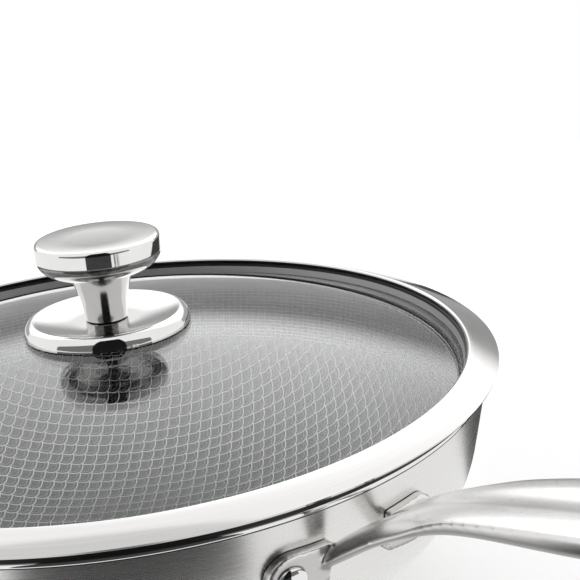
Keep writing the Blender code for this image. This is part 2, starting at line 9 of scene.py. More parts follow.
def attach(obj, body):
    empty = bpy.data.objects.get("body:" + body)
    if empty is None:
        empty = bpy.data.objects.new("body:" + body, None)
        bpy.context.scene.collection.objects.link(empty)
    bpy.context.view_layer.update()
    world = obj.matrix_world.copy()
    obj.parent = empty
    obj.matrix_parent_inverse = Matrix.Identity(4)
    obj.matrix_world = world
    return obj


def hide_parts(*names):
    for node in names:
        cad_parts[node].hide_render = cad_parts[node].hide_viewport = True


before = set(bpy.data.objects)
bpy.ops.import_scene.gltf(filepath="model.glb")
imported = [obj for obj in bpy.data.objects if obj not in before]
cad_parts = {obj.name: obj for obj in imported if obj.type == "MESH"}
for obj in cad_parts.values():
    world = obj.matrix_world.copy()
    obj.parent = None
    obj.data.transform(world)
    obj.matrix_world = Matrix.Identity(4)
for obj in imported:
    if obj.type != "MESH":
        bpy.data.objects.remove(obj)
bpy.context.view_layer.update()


# Outer sheet of the bowl: 18/10 stainless steel, deep drawn together with the two sheets inside it.
# It is brushed on a lathe, so fine lines run round it, and it ends below the lip that the inner sheet makes.

GAP = 0.0003
RIM_RADIUS = 0.1455
BASE_RADIUS = 0.0428
BOWL_HEIGHT = 0.0838
WALL_STRAIGHT = 0.0279
WALL_LEAN = math.radians(11.1)
CORNER_RADIUS = 0.0536
SKIN_THICKNESS = 0.0006
LIP_HEIGHT = 0.0022
RING_CHANGES = 2.2


def linear(code):
    """Turns an sRGB hex colour to linear numbers."""
    channels = []
    for start in (1, 3, 5):
        value = int(code[start:start + 2], 16) / 255
        channels.append(value / 12.92 if value <= 0.04045 else ((value + 0.055) / 1.055) ** 2.4)
    return (*channels, 1.0)


def add(tree, kind, sockets=None, **fields):
    """Adds a node, sets its fields, and fills its sockets with values or with other nodes' outputs."""
    made = tree.nodes.new(kind)
    for field, value in fields.items():
        setattr(made, field, value)
    for socket, value in (sockets or {}).items():
        if isinstance(value, bpy.types.NodeSocket):
            tree.links.new(value, made.inputs[socket])
        else:
            made.inputs[socket].default_value = value
    return made


def finish(name, **constants):
    """A new material and its shader, with the numbers that are the same all over the surface."""
    made = bpy.data.materials.new(name)
    made.use_nodes = True
    shader = made.node_tree.nodes["Principled BSDF"]
    for socket, value in constants.items():
        shader.inputs[socket.replace("_", " ")].default_value = value
    return made, made.node_tree, shader


def blend_colour(tree, factor, low, high):
    """A colour between two hex values."""
    made = add(tree, "ShaderNodeMix", {"Factor": factor}, data_type="RGBA")
    ends = [socket for socket in made.inputs if socket.type == "RGBA"]
    ends[0].default_value = linear(low)
    ends[1].default_value = linear(high)
    return [socket for socket in made.outputs if socket.type == "RGBA"][0]


def spread(tree, value, low, high, first=0.0, last=1.0, curve="LINEAR"):
    """Maps one range, or 0 to 1, onto another."""
    limits = {"Value": value, "From Min": first, "From Max": last, "To Min": low, "To Max": high}
    return add(tree, "ShaderNodeMapRange", limits, interpolation_type=curve).outputs["Result"]


def here(tree):
    """The place on the piece, in its own metres."""
    return add(tree, "ShaderNodeTexCoord").outputs["Object"]


def calculate(tree, operation, first, second=0.0, third=0.0):
    """One sum of a node tree."""
    made = add(tree, "ShaderNodeMath", {0: first, 1: second, 2: third}, operation=operation)
    return made.outputs["Value"]


def round_brushing(tree, pitch):
    """Fine rings round the Z axis, a pitch in millimetres apart, that change a little on their way round."""
    parts = add(tree, "ShaderNodeSeparateXYZ", {"Vector": here(tree)}).outputs
    flat = add(tree, "ShaderNodeCombineXYZ", {"X": parts["X"], "Y": parts["Y"]}).outputs["Vector"]
    radius = add(tree, "ShaderNodeVectorMath", {0: flat}, operation="LENGTH").outputs["Value"]
    turn = add(tree, "ShaderNodeVectorMath", {0: flat}, operation="NORMALIZE").outputs["Vector"]
    turn = add(tree, "ShaderNodeVectorMath", {0: turn, "Scale": RING_CHANGES}, operation="SCALE")
    rise = calculate(tree, "MULTIPLY", calculate(tree, "ADD", parts["Z"], radius), 1000 / pitch)
    lift = add(tree, "ShaderNodeCombineXYZ", {"Z": rise}).outputs["Vector"]
    where = add(tree, "ShaderNodeVectorMath", {0: turn.outputs["Vector"], 1: lift}, operation="ADD")
    noise = {"Vector": where.outputs["Vector"], "Scale": 1.0, "Detail": 3.0, "Roughness": 0.6}
    return add(tree, "ShaderNodeTexNoise", noise).outputs["Fac"]


def dress(tree, shader, pattern, colours=None, roughness=None, relief=0.0):
    """Lets one pattern drive a material's colour, its roughness, and its bump of at most 0.1 mm."""
    if colours:
        tree.links.new(blend_colour(tree, pattern, *colours), shader.inputs["Base Color"])
    if roughness:
        tree.links.new(spread(tree, pattern, *roughness), shader.inputs["Roughness"])
    if relief:
        bump = add(tree, "ShaderNodeBump", {"Strength": relief, "Distance": 0.0001, "Height": pattern})
        tree.links.new(bump.outputs["Normal"], shader.inputs["Normal"])


def metal(name, colours, roughness, pattern, *sizes, relief=0.0):
    """A bare metal that varies with one pattern, given as a function and its sizes."""
    made, tree, shader = finish(name, Metallic=1.0)
    dress(tree, shader, pattern(tree, *sizes), colours, roughness, relief)
    return made


def arc(centre, radius, start, end, steps, rise=None):
    """Points on an arc in an outline's plane, oval if its rise is given; angles in radians."""
    rise = radius if rise is None else rise
    angles = [start + (end - start) * step / steps for step in range(steps + 1)]
    return [(centre[0] + radius * math.cos(angle), centre[1] + rise * math.sin(angle)) for angle in angles]


def mix(first, second, share):
    return first + (second - first) * share


def smooth(piece, angle=35.0):
    piece.data.shade_smooth()
    piece.data.set_sharp_from_angle(angle=math.radians(angle))


def new_object(name, data):
    made = bpy.data.objects.new(name, data)
    bpy.context.collection.objects.link(made)
    return made


def mesh_object(name, points=(), faces=(), edges=()):
    mesh = bpy.data.meshes.new(name)
    mesh.from_pydata(points, edges, faces)
    return new_object(name, mesh)


def turned(name, outline, steps=256):
    """Spins a closed outline of (radius, height) points about the Z axis into one mesh object."""
    form = bmesh.new()
    circle = arc((0.0, 0.0), 1.0, 0.0, 2 * math.pi, steps)[:-1]
    rings = []
    for radius, height in outline:
        spokes = circle if radius > 1e-7 else circle[:1]
        rings.append([form.verts.new((radius * x, radius * y, height)) for x, y in spokes])
    for first, second in zip(rings, rings[1:] + rings[:1]):
        for step in range(steps):
            corners = []
            for ring, at in ((first, step), (first, step + 1), (second, step + 1), (second, step)):
                corner = ring[at % len(ring)]
                if corner not in corners:
                    corners.append(corner)
            if len(corners) > 2:
                form.faces.new(corners)
    bmesh.ops.recalc_face_normals(form, faces=form.faces)
    made = mesh_object(name)
    form.to_mesh(made.data)
    form.free()
    smooth(made)
    return made


def place_in(piece, body, slot, look, *nodes):
    """Gives a piece its material and its body, and hides the CAD nodes that it stands for; its slot is not
    used.
    """
    if look is not None:
        piece.data.materials.clear()
        piece.data.materials.append(look)
    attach(piece, body)
    if nodes:
        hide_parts(*nodes)


def paint(piece, look, chosen):
    """Gives one more material to the faces that a test of their radius, height and upward share picks."""
    piece.data.materials.append(look)
    for face in piece.data.polygons:
        if chosen(math.hypot(face.center.x, face.center.y), face.center.z, face.normal.z):
            face.material_index = len(piece.data.materials) - 1


def wall_radius(height, offset=0.0):
    """Radius of the straight wall's outside at a height, moved inwards by an offset square to the wall."""
    return RIM_RADIUS - (BOWL_HEIGHT - height) * math.tan(WALL_LEAN) - offset / math.cos(WALL_LEAN)


def bowl_line(offset, top, steps=24):
    """Line from the axis along the base, a wide and a tight curve and the straight wall, up to a height."""
    start = BOWL_HEIGHT - WALL_STRAIGHT
    side = wall_radius(start) - CORNER_RADIUS * math.cos(WALL_LEAN)
    level = start + CORNER_RADIUS * math.sin(WALL_LEAN)
    inset = side - BASE_RADIUS
    wide = (inset ** 2 + level ** 2 - CORNER_RADIUS ** 2) / (2 * (level - CORNER_RADIUS))
    turn = math.atan2(level - wide, inset)
    line = [(0.0, offset), (BASE_RADIUS * 0.5, offset)]
    line += arc((BASE_RADIUS, wide), wide - offset, -math.pi / 2, turn, steps)
    line += arc((side, level), CORNER_RADIUS - offset, turn, -WALL_LEAN, steps)[1:]
    line.append((wall_radius(top, offset), top))
    return line


# Lathe brushing: each highlight spreads to a tall soft streak on the wall. The real lines are under 0.1 mm
# apart, too fine to show, so they are drawn 0.35 mm apart.
brushed_steel = metal("lathe_brushed_stainless_steel", ("#D6D5D3", "#EAE9E7"), (0.20, 0.34),
                      round_brushing, 0.35, relief=0.10)

sheet_top = BOWL_HEIGHT - LIP_HEIGHT - GAP
bowl_outside = turned("bowl_outside", bowl_line(0.0, sheet_top) + bowl_line(SKIN_THICKNESS, sheet_top)[::-1])
place_in(bowl_outside, "wok", "brushed_steel", brushed_steel, "outer_skin")


# Core of the bowl: aluminium sheet, bonded between the two steel sheets to carry the heat up the wall.
# It is closed in on all sides, so it keeps its CAD shape and only gets the look of rolled sheet.


def drawn(tree, length, width, detail):
    """Noise in lines along the X axis, from their length and width in millimetres."""
    scale = (1000 / length, 1000 / width, 1000 / width)
    stretched = add(tree, "ShaderNodeMapping", {"Vector": here(tree), "Scale": scale}).outputs["Vector"]
    noise = {"Vector": stretched, "Scale": 1.0, "Detail": detail}
    return add(tree, "ShaderNodeTexNoise", noise).outputs["Fac"]


# Rolled aluminium: cold pale grey, with soft streaks that all run one way.
rolled_aluminium = metal("rolled_aluminium_sheet", ("#C2C4C6", "#D6D8DA"), (0.32, 0.48),
                         drawn, 16.7, 0.4, 2.0)
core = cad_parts["core_layer"]
core.data.materials.clear()
core.data.materials.append(rolled_aluminium)


# Inner sheet: 18/10 stainless steel, satin finished, with a solid half-round lip that closes the rim.
# Below a narrow bare belt it carries a thin black non-stick coating, baked on between the raised lines.

CORE_THICKNESS = 0.0009
LINER_THICKNESS = 0.0006
LIP_ROUNDING = 0.0006
LIP_STEPS = 12
LINER_OFFSET = SKIN_THICKNESS + GAP + CORE_THICKNESS + GAP
WALL = LINER_OFFSET + LINER_THICKNESS
LIP_BOTTOM = BOWL_HEIGHT - LIP_HEIGHT
COATING_THICKNESS = 0.00004
COATING_BELOW_RIM = 0.0081


def cloudy(tree, size, detail):
    """Even noise, from the size of its patches in millimetres."""
    noise = {"Vector": here(tree), "Scale": 1000 / size, "Detail": detail}
    return add(tree, "ShaderNodeTexNoise", noise).outputs["Fac"]


# Satin steel: the bare belt under the lip, greyer than the outside, its lines also drawn too coarse.
satin_steel = metal("satin_stainless_steel", ("#B2B2B1", "#C6C6C5"), (0.24, 0.36), round_brushing, 0.3)

# Mirror polish: nearly white, with sharp reflections of the studio that a faint haze softens here and there.
polished_steel = metal("mirror_polished_stainless_steel", ("#E2E1E0", "#EDEDEC"), (0.03, 0.08),
                       cloudy, 11.1, 3.0)

# Non-stick coating: a matt black ground, finely speckled, that makes the bright relief stand out.
coating, tree, shader = finish("black_nonstick_coating", Specular_IOR_Level=0.2)
speckle = cloudy(tree, 0.455, 2.0)
mottle = spread(tree, calculate(tree, "MULTIPLY", speckle, cloudy(tree, 16.7, 3.0)), 0.0, 1.0, 0.15, 0.40)
dress(tree, shader, mottle, ("#0B0B0C", "#151516"), (0.50, 0.38))
dress(tree, shader, speckle, relief=0.15)

inside = bowl_line(WALL, LIP_BOTTOM)
inside.append((wall_radius(BOWL_HEIGHT, WALL) - LIP_ROUNDING, BOWL_HEIGHT - LIP_ROUNDING))
middle = (RIM_RADIUS - LIP_ROUNDING, BOWL_HEIGHT - LIP_HEIGHT / 2)
outline = bowl_line(LINER_OFFSET, LIP_BOTTOM)
outline += arc(middle, LIP_ROUNDING, -math.pi / 2, math.pi / 2, LIP_STEPS, LIP_HEIGHT / 2)
outline += [(wall_radius(BOWL_HEIGHT, WALL), BOWL_HEIGHT)] + inside[::-1]
liner = turned("liner_sheet", outline)
place_in(liner, "wok", "etched_steel", satin_steel, "inner_liner")
paint(liner, polished_steel, lambda out, height, up: height > LIP_BOTTOM - GAP)

coating_top = BOWL_HEIGHT - COATING_BELOW_RIM
outline = bowl_line(WALL, coating_top)
outline += bowl_line(WALL + COATING_THICKNESS, coating_top - COATING_THICKNESS)[::-1]
place_in(turned("nonstick_film", outline), "wok", "etched_steel", coating)


# Handle: one stainless steel investment casting, two pads on the wall and two prongs that meet at a neck.
# Soft fillets join prongs and pads. Its top is satin brushed lengthways, and it carries painted light and
# shade: faces that point up are painted lighter and the underside darker.

# Brushed casting: soft bright streaks along the grooved top, with painted light on the top and painted shade
# on the greyer underside.
cast_steel, tree, shader = finish("satin_brushed_cast_steel", Metallic=1.0)
grain = drawn(tree, 25.0, 0.625, 3.0)
# Painted light and shade: the handle's colour is lighter where its faces point up and darker underneath.
upper = add(tree, "ShaderNodeAttribute", attribute_name="painted_light_on_top").outputs["Fac"]
bright = calculate(tree, "MULTIPLY_ADD", calculate(tree, "MULTIPLY", grain, upper), 0.25,
                   calculate(tree, "MULTIPLY", upper, 0.75))
dress(tree, shader, bright, ("#8A8987", "#F4F3F1"))
dress(tree, shader, grain, roughness=(0.24, 0.36), relief=0.05)


def apply_steps(piece):
    """Makes the result of a piece's modifiers its plain mesh."""
    graph = bpy.context.evaluated_depsgraph_get()
    graph.update()
    result = bpy.data.meshes.new_from_object(piece.evaluated_get(graph))
    piece.modifiers.clear()
    old = piece.data
    piece.data = result
    bpy.data.meshes.remove(old)


def ease(share):
    """Half a cosine, from 0 to 1."""
    return 0.5 - 0.5 * math.cos(math.pi * min(max(share, 0.0), 1.0))


HANDLE_REACH = 0.1990
ROOT_HEIGHT = BOWL_HEIGHT - 0.0156
TIP_HEIGHT = BOWL_HEIGHT + 0.0480
TOP_CURVE = ((0.0, ROOT_HEIGHT), (0.0352, ROOT_HEIGHT + 0.0243),
             (HANDLE_REACH - 0.1500, TIP_HEIGHT - 0.0274), (HANDLE_REACH, TIP_HEIGHT))
NECK_DISTANCE = 0.042
GRIP_DISTANCE = 0.110
TIP_ROUNDING = 0.016
WIDTHS = (0.0326, 0.0308, 0.0400, 0.0270)
THICKNESSES = (0.0070, 0.0072, 0.0100, 0.0070)
FORK_FALL = 0.0048
GRIP_FALL = 0.0014
FALL_CHANGE = 0.030
GROOVE_DEPTH = 0.0012
GROOVE_SHARE = 0.45
SECTION_STEPS = 24
LENGTH_STEPS = 110
FORK_GAP = 0.0248
FORK_DEPTH = 0.0240
FORK_TIP_RADIUS = 0.0022
EYE_WIDTH = 0.0090
EYE_LENGTH = 0.0220
EYE_FROM_TIP = 0.0280
RIVET_SPREAD = 0.0526
RIVET_HEIGHT = BOWL_HEIGHT - 0.0220
PAD_THICKNESS = 0.0030
PAD_END_RADIUS = 0.0088
PAD_INNER_RISE = 0.0084
PAD_INNER_DROP = 0.0064
RIVET_RADIUS = 0.0030
CAD_WALL_FLATS = 64
VOXEL = 0.00048
UNDERSIDE_TURN = 0.35
UNDERSIDE_BLEND = 0.30
CUTTER_HALF = 0.02


def curve_point(share):
    """A point on the cubic curve that the handle's top follows from the wall to the tip."""
    rest = 1 - share
    weights = (rest ** 3, 3 * share * rest ** 2, 3 * share ** 2 * rest, share ** 3)
    return [sum(weight * corner[axis] for weight, corner in zip(weights, TOP_CURVE)) for axis in (0, 1)]


def top_line(distance):
    """Height and slope of the handle's top at a distance from the wall."""
    low, high = 0.0, 1.0
    for _ in range(30):
        middle = (low + high) / 2
        if curve_point(middle)[0] < distance:
            low = middle
        else:
            high = middle
    before, after = curve_point(low - 1e-3), curve_point(low + 1e-3)
    slope = math.atan2(after[1] - before[1], after[0] - before[0])
    if distance <= 0.0:
        return ROOT_HEIGHT + distance * math.tan(slope), slope
    return curve_point(low)[1], slope


def along_handle(values, distance):
    """Blends four values that hold at the fork, the neck, the grip and the tip."""
    if distance <= NECK_DISTANCE:
        return mix(values[0], values[1], ease(distance / NECK_DISTANCE))
    if distance <= GRIP_DISTANCE:
        return mix(values[1], values[2], ease((distance - NECK_DISTANCE) / (GRIP_DISTANCE - NECK_DISTANCE)))
    return mix(values[2], values[3], ease((distance - GRIP_DISTANCE) / (HANDLE_REACH - GRIP_DISTANCE)))


def handle_ring(distance):
    """The cast section at a distance: two soft ridges with a groove between, and a rounded underside."""
    half = along_handle(WIDTHS, distance) / 2
    if NECK_DISTANCE < distance < GRIP_DISTANCE:
        share = math.sin(math.pi / 2 * (distance - NECK_DISTANCE) / (GRIP_DISTANCE - NECK_DISTANCE))
        half = mix(WIDTHS[1], WIDTHS[2], share) / 2
    over = max(distance - (HANDLE_REACH - TIP_ROUNDING), 0.0) / TIP_ROUNDING
    half *= math.sqrt(max(1 - over ** 2, 0.01))
    drop = mix(FORK_FALL, GRIP_FALL, ease((distance - FALL_CHANGE) / FALL_CHANGE))
    deep = along_handle(THICKNESSES, distance) - drop
    edge = []
    for step in range(SECTION_STEPS + 1):
        share = math.sin(math.pi / 2 * step / SECTION_STEPS)
        height = -GROOVE_DEPTH * (1 - (share / GROOVE_SHARE) ** 2) ** 2
        if share > GROOVE_SHARE:
            height = -drop * ((share - GROOVE_SHARE) / (1 - GROOVE_SHARE)) ** 3
        edge.append((half * share, height))
    for step in range(1, SECTION_STEPS + 1):
        bend = math.pi / 2 * step / SECTION_STEPS
        side = half * math.cos(bend) ** 0.4 if step < SECTION_STEPS else 0.0
        edge.append((side, -drop - deep * math.sin(bend) ** 0.7))
    edge += [(-side, height) for side, height in edge[-2:0:-1]]
    height, slope = top_line(distance)
    start = wall_radius(ROOT_HEIGHT) + distance
    return [(start - level * math.sin(slope), side, height + level * math.cos(slope)) for side, level in edge]


def loft(name, rings):
    """Skins rings with equal counts of points and caps both ends."""
    count = len(rings[0])
    last = (len(rings) - 1) * count
    faces = [tuple(range(count))[::-1], tuple(range(last, last + count))]
    for ring in range(0, last, count):
        for at in range(count):
            after = (at + 1) % count
            faces.append((ring + at, ring + after, ring + count + after, ring + count + at))
    made = mesh_object(name, [point for ring in rings for point in ring], faces)
    form = bmesh.new()
    form.from_mesh(made.data)
    bmesh.ops.recalc_face_normals(form, faces=form.faces)
    form.to_mesh(made.data)
    form.free()
    return made


def cut(target, cutter, operation="DIFFERENCE"):
    """Applies a Boolean and removes the cutter."""
    step = target.modifiers.new("cut", "BOOLEAN")
    step.operation = operation
    step.solver = "EXACT"
    step.object = cutter
    apply_steps(target)
    bpy.data.objects.remove(cutter, do_unlink=True)


def wall_solid(name, outset):
    """A solid of the bowl's outer shape grown by an outset."""
    high = BOWL_HEIGHT + CORNER_RADIUS
    return turned(name, bowl_line(-outset, high)[1:] + [(0.0, high), (0.0, -outset)])


def rivet_place(side):
    """Matrix that stands a rivet square on the flat of the CAD wall that carries it."""
    sway = math.asin(side * RIVET_SPREAD / 2 / wall_radius(RIVET_HEIGHT))
    flat = 2 * math.pi / CAD_WALL_FLATS
    middle = round(sway / flat) * flat
    level = math.cos(WALL_LEAN)
    normal = Vector((math.cos(middle) * level, math.sin(middle) * level, -math.sin(WALL_LEAN)))
    reach = wall_radius(RIVET_HEIGHT) * math.cos(flat / 2) / math.cos(sway - middle)
    spot = Vector((reach * math.cos(sway), reach * math.sin(sway), RIVET_HEIGHT))
    return Matrix.Translation(spot) @ normal.to_track_quat("Z", "Y").to_matrix().to_4x4()


start = wall_radius(ROOT_HEIGHT)
straight = HANDLE_REACH - TIP_ROUNDING
distances = [-3 * PAD_THICKNESS, -PAD_THICKNESS]
distances += [straight * step / LENGTH_STEPS for step in range(LENGTH_STEPS + 1)]
distances += [straight + TIP_ROUNDING * math.sin(math.radians(angle)) for angle in range(8, 89, 8)]
handle = loft("handle_casting", [handle_ring(distance) for distance in distances + [HANDLE_REACH]])
tip = FORK_DEPTH - FORK_TIP_RADIUS
lean = math.atan2(FORK_GAP / 2 - FORK_TIP_RADIUS, tip)
outline = [(start - 5 * PAD_THICKNESS, -FORK_GAP / 2), (start, -FORK_GAP / 2)]
outline += arc((start + tip, 0.0), FORK_TIP_RADIUS, lean - math.pi / 2, math.pi / 2 - lean, 10)
outline += [(start, FORK_GAP / 2), (start - 5 * PAD_THICKNESS, FORK_GAP / 2)]
fork = loft("fork", [[(across, side, level) for across, side in outline] for level in (0.0, 2 * TIP_HEIGHT)])
cut(handle, fork)
for side in (-1, 1):
    outline = arc((RIVET_SPREAD / 2, RIVET_HEIGHT), PAD_END_RADIUS, -math.pi / 2, math.pi / 2, 24)
    outline.append((FORK_GAP / 2, RIVET_HEIGHT + PAD_INNER_RISE))
    outline.append((FORK_GAP / 2, RIVET_HEIGHT - PAD_INNER_DROP))
    depths = (BASE_RADIUS, RIM_RADIUS + 4 * PAD_THICKNESS)
    pad = loft("pad", [[(depth, side * across, height) for across, height in outline] for depth in depths])
    cut(pad, wall_solid("shell", PAD_THICKNESS + GAP), "INTERSECT")
    cut(handle, pad, "UNION")
step = handle.modifiers.new("remesh", "REMESH")
step.mode = "VOXEL"
step.voxel_size = VOXEL
step = handle.modifiers.new("fillets", "SMOOTH")
step.factor = 0.5
step.iterations = 22
apply_steps(handle)
cut(handle, wall_solid("wall", GAP))
for side in (-1, 1):
    bore = RIVET_RADIUS + GAP
    outline = [(0, -CUTTER_HALF), (bore, -CUTTER_HALF), (bore, CUTTER_HALF), (0, CUTTER_HALF)]
    drill = turned("drill", outline, 48)
    drill.data.transform(rivet_place(side))
    cut(handle, drill)
middle = HANDLE_REACH - EYE_FROM_TIP
height, slope = top_line(middle)
half = (EYE_LENGTH - EYE_WIDTH) / 2
outline = arc((half, 0.0), EYE_WIDTH / 2, -math.pi / 2, math.pi / 2, 16)
outline += arc((-half, 0.0), EYE_WIDTH / 2, math.pi / 2, 3 * math.pi / 2, 16)
levels = (-CUTTER_HALF, CUTTER_HALF)
eye = loft("eye", [[(along, across, level) for along, across in outline] for level in levels])
eye.data.transform(Matrix.Translation((start + middle, 0.0, height)) @ Matrix.Rotation(-slope, 4, "Y"))
cut(handle, eye)
smooth(handle, 40.0)
# Painted light and shade: each point's share of the lighter top colour, from how far its face points up.
turns = [(point.normal.z + UNDERSIDE_TURN) / UNDERSIDE_BLEND for point in handle.data.vertices]
painted_light_on_top = handle.data.attributes.new("painted_light_on_top", "FLOAT", "POINT")
painted_light_on_top.data.foreach_set("value", [min(max(turn, 0.0), 1.0) for turn in turns])
place_in(handle, "wok", "brushed_steel", cast_steel, "handle")


# Rivets: solid stainless steel, set cold, with a domed head on the pad and a flatter one inside the bowl.
# Both heads are polished bright.

RIVET_HEAD_RADIUS = 0.0053
RIVET_DOME = 0.0026
RIVET_INSIDE_DOME = 0.0015
DOME_STEPS = 10

for side, label in ((-1, "left"), (1, "right")):
    outside = PAD_THICKNESS + 2 * GAP
    inner = -WALL - GAP
    outline = arc((0.0, inner), RIVET_HEAD_RADIUS, -math.pi / 2, 0.0, DOME_STEPS, RIVET_INSIDE_DOME)
    outline += [(RIVET_RADIUS, inner), (RIVET_RADIUS, outside)]
    outline += arc((0.0, outside), RIVET_HEAD_RADIUS, 0.0, math.pi / 2, DOME_STEPS, RIVET_DOME)
    rivet = turned("rivet_head_" + label, outline, 48)
    rivet.data.transform(rivet_place(side))
    place_in(rivet, "wok", "polished_steel", polished_steel, "rivet_" + label)


# Raised relief: what the etching leaves of the inner sheet's bright face, about 0.2 mm high.
# Rows of overlapping scales, each with a line of beads inside its edge, cover the floor up to a sharp circle.
# Upright lines with short rungs cover the wall above it. Lengths run along the sheet from the bowl's axis.

RELIEF_TURN = math.radians(60.87)
SCALE_ACROSS = (0.00549, -0.00027)
SCALE_UP = (0.00152, 0.00622)
SCALE_START = (0.40, -0.25)
ROW_BEND = 117.0
ROW_CREST = 0.030
SCALE_EDGE_MM = ((-0.03, 0.33), (1.2, -0.10), (2.5, -0.32), (3.7, -0.22), (4.8, 0.25),
                 (5.7, 1.15), (6.4, 2.2), (6.82, 3.5), (6.99, 5.0), (6.94, 6.38))
BEADS_MM = ((1.37, 1.36), (2.27, 1.21), (3.20, 1.29), (4.00, 1.75),
            (4.66, 2.52), (5.10, 3.50), (5.32, 4.50), (5.37, 5.50))
ROWS = 32
COLUMNS = 42
BEAD_SIZE = 0.00065
FLOOR_REACH = 0.1565
RIDGE_HEIGHT = 0.00018
RIDGE_WIDTH = 0.00058
WALL_LINES = 284
WALL_REACH = 0.1795
RUNG_PITCH = 0.0016
RUNG_WIDTH = 0.00060

# Bright satin relief: pale lines that catch the light over the black ground, with no sharp reflections.
ridge_steel = metal("bright_satin_steel_relief", ("#BEBEBE", "#D8D8D8"), (0.30, 0.42), cloudy, 1.11, 2.0)


def ridge(points, faces, path, width):
    """Adds a flat-topped ridge along a path of (across, up) points, open where it sinks into the sheet."""
    first = len(points)
    for at, (across, up) in enumerate(path):
        before = path[max(at - 1, 0)]
        after = path[min(at + 1, len(path) - 1)]
        along = Vector((after[0] - before[0], after[1] - before[1])).normalized()
        for shift, level in ((-0.5, -0.3), (-0.3, 1.0), (0.3, 1.0), (0.5, -0.3)):
            shift *= width
            points.append((across - along.y * shift, up + along.x * shift, level * RIDGE_HEIGHT))
    for at in range(len(path) - 1):
        for lane in range(3):
            corner = first + 4 * at + lane
            faces.append((corner, corner + 4, corner + 5, corner + 1))


def bead(points, faces, across, up):
    """Adds one small four-sided bead."""
    first = len(points)
    half = BEAD_SIZE / 2
    for shift in ((-half, -half), (half, -half), (half, half), (-half, half)):
        points.append((across + shift[0], up + shift[1], -0.3 * RIDGE_HEIGHT))
    points.append((across, up, 0.9 * RIDGE_HEIGHT))
    faces.extend((first + at, first + (at + 1) % 4, first + 4) for at in range(4))


def wrapping_tree(name):
    """Node tree that repeats a flat motif, bends its rows, and wraps it along the bowl's inner face."""
    tree = bpy.data.node_groups.new(name, "GeometryNodeTree")
    for label, kind in (("Geometry", "Geometry"), ("Profile", "Object"), ("Motif", "Object"),
                        ("Row Step", "Vector"), ("Row Bend", "Float"), ("Row Crest", "Float"),
                        ("Turn", "Float"), ("Reach", "Float"), ("Steel", "Material")):
        tree.interface.new_socket(label, in_out="INPUT", socket_type="NodeSocket" + kind)
    tree.interface.new_socket("Geometry", in_out="OUTPUT", socket_type="NodeSocketGeometry")
    given = add(tree, "NodeGroupInput").outputs

    def number(operation, first, second=0.0):
        return calculate(tree, operation, first, second)

    def split(vector):
        return add(tree, "ShaderNodeSeparateXYZ", {"Vector": vector}).outputs

    motif = add(tree, "GeometryNodeObjectInfo", {"Object": given["Motif"]}).outputs["Geometry"]
    turn = add(tree, "GeometryNodeInputNamedAttribute", {"Name": "place_turn"}, data_type="FLOAT")
    turn = add(tree, "ShaderNodeCombineXYZ", {"Z": turn.outputs["Attribute"]}).outputs["Vector"]
    sockets = {"Points": given["Geometry"], "Instance": motif, "Rotation": turn}
    repeated = add(tree, "GeometryNodeInstanceOnPoints", sockets).outputs["Instances"]
    repeated = add(tree, "GeometryNodeRealizeInstances", {"Geometry": repeated}).outputs["Geometry"]

    flat = split(add(tree, "GeometryNodeInputPosition").outputs["Position"])
    off_crest = number("SUBTRACT", flat["X"], given["Row Crest"])
    bend = number("MULTIPLY", number("MULTIPLY", off_crest, off_crest), given["Row Bend"])
    shift = add(tree, "ShaderNodeVectorMath", {0: given["Row Step"], "Scale": bend}, operation="SCALE")
    sockets = {"Geometry": repeated, "Offset": shift.outputs["Vector"]}
    bent = add(tree, "GeometryNodeSetPosition", sockets).outputs["Geometry"]
    turn = add(tree, "ShaderNodeCombineXYZ", {"Z": given["Turn"]}).outputs["Vector"]
    swung = add(tree, "GeometryNodeTransform", {"Geometry": bent, "Rotation": turn}).outputs["Geometry"]

    flat = split(add(tree, "GeometryNodeInputPosition").outputs["Position"])
    squares = [number("MULTIPLY", flat[axis], flat[axis]) for axis in "XY"]
    distance = number("SQRT", number("ADD", *squares))
    beyond = number("GREATER_THAN", distance, given["Reach"])
    kept = add(tree, "GeometryNodeDeleteGeometry", {"Geometry": swung, "Selection": beyond}, domain="FACE")
    path = add(tree, "GeometryNodeObjectInfo", {"Object": given["Profile"]}).outputs["Geometry"]
    path = add(tree, "GeometryNodeMeshToCurve", {"Mesh": path}).outputs["Curve"]
    sockets = {"Curves": path, "Length": distance}
    on_path = add(tree, "GeometryNodeSampleCurve", sockets, mode="LENGTH").outputs
    spot = split(on_path["Position"])
    slope = split(on_path["Tangent"])
    radius = number("SUBTRACT", spot["X"], number("MULTIPLY", flat["Z"], slope["Z"]))
    grown = number("DIVIDE", radius, number("MAXIMUM", distance, 1e-6))
    wrapped = {axis: number("MULTIPLY", flat[axis], grown) for axis in "XY"}
    wrapped["Z"] = number("ADD", spot["Z"], number("MULTIPLY", flat["Z"], slope["X"]))
    wrapped = add(tree, "ShaderNodeCombineXYZ", wrapped).outputs["Vector"]
    sockets = {"Geometry": kept.outputs["Geometry"], "Position": wrapped}
    laid = add(tree, "GeometryNodeSetPosition", sockets).outputs["Geometry"]
    dressed = add(tree, "GeometryNodeSetMaterial", {"Geometry": laid, "Material": given["Steel"]})
    add(tree, "NodeGroupOutput", {"Geometry": dressed.outputs["Geometry"]})
    return tree


def wrap(name, places, turns, motif, tree, values):
    """One relief piece: the motif at each place, wrapped on the bowl by the node tree."""
    made = mesh_object(name, places)
    turn_of = made.data.attributes.new("place_turn", "FLOAT", "POINT")
    turn_of.data.foreach_set("value", turns)
    step = made.modifiers.new("relief", "NODES")
    step.node_group = tree
    values = {**values, "Motif": motif, "Steel": ridge_steel}
    for item in tree.interface.items_tree:
        if item.in_out == "INPUT" and item.name in values:
            step[item.identifier] = values[item.name]
    apply_steps(made)
    bpy.data.objects.remove(motif, do_unlink=True)
    smooth(made, 20.0)
    place_in(made, "wok", "etched_steel", None)


inner_line = [(radius, 0.0, height) for radius, height in bowl_line(WALL, LIP_BOTTOM, 90)]
profile = mesh_object("inner_profile", inner_line, edges=[(at, at + 1) for at in range(len(inner_line) - 1)])

